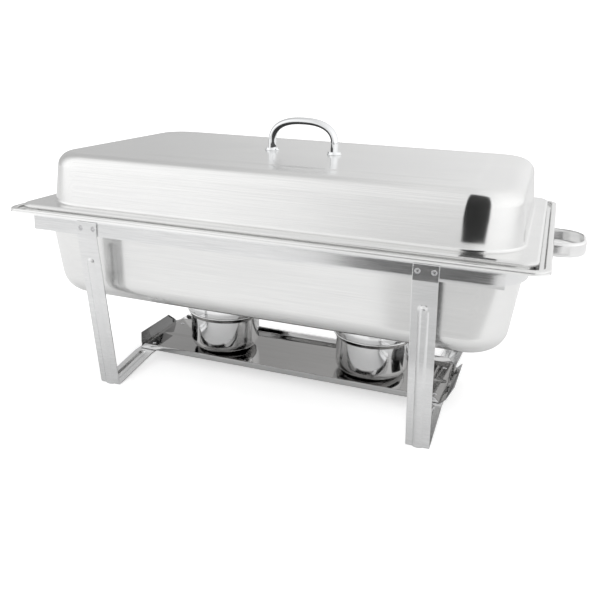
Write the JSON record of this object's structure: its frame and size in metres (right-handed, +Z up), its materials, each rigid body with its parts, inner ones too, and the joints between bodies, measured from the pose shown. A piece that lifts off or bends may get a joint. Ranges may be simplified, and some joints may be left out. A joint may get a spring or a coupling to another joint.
{
  "type": "chafing dish food warmer",
  "caption": "Full-size rectangular chafing dish: domed lid with a bar handle, food pan in a water pan, riveted strip frame with burner shelf, lift-out fuel burners with swing dampers.",
  "frame": {"origin": "on the table, under the middle of the frame", "axes": "+X along the long side, +Y from front to back, +Z up"},
  "size_m": [0.629, 0.35, 0.305],
  "materials": {
    "lid_steel": "satin",
    "pan_steel": "satin",
    "food_pan_steel": "satin",
    "frame_steel": "mill finish",
    "strap_steel": "semi-bright",
    "polished_steel": "polished",
    "mirror_steel": "mirror polished",
    "fastener_steel": "bright"
  },
  "bodies": {
    "frame": {"front_rail": "frame_steel", "back_rail": "frame_steel", "left_end_rail": "frame_steel", "right_end_rail": "frame_steel", "leg_front_left": "frame_steel", "leg_front_right": "frame_steel", "leg_back_left": "frame_steel", "leg_back_right": "frame_steel", "leg_rivets": "fastener_steel", "left_handle": "strap_steel", "right_handle": "strap_steel", "handle_rivets": "fastener_steel", "burner_shelf": "mirror_steel", "shelf_rivets": "fastener_steel"},
    "water_pan": {"water_pan": "pan_steel"},
    "food_pan": {"food_pan": "food_pan_steel"},
    "lid": {"lid_shell": "lid_steel", "lid_handle": "polished_steel", "lid_foot_left": "polished_steel", "lid_foot_right": "polished_steel", "lid_washers": "fastener_steel", "lid_nuts": "fastener_steel"},
    "left_burner": {"left_cup": "mirror_steel", "left_collar": "mirror_steel", "left_pivot": "fastener_steel"},
    "right_burner": {"right_cup": "mirror_steel", "right_collar": "mirror_steel", "right_pivot": "fastener_steel"},
    "left_damper": {"left_damper": "mirror_steel"},
    "right_damper": {"right_damper": "mirror_steel"}
  },
  "joints": [
    {"name": "water_pan_lift", "type": "slide", "parent": "frame", "child": "water_pan", "axis": [0, 0, 1], "range_m": [0, 0.15]},
    {"name": "food_pan_lift", "type": "slide", "parent": "water_pan", "child": "food_pan", "axis": [0, 0, 1], "range_m": [0, 0.12]},
    {"name": "lid_lift", "type": "slide", "parent": "food_pan", "child": "lid", "axis": [0, 0, 1], "range_m": [0, 0.15]},
    {"name": "left_burner_lift", "type": "slide", "parent": "frame", "child": "left_burner", "axis": [0, 0, 1], "range_m": [0, 0.012]},
    {"name": "right_burner_lift", "type": "slide", "parent": "frame", "child": "right_burner", "axis": [0, 0, 1], "range_m": [0, 0.012]},
    {"name": "left_damper_swing", "type": "hinge", "parent": "left_burner", "child": "left_damper", "pos_m": [-0.096, 0.034, 0.0758], "axis": [0, 0, 1], "range_deg": [0, 110]},
    {"name": "right_damper_swing", "type": "hinge", "parent": "right_burner", "child": "right_damper", "pos_m": [0.096, 0.034, 0.0758], "axis": [0, 0, 1], "range_deg": [0, 110]}
  ]
}
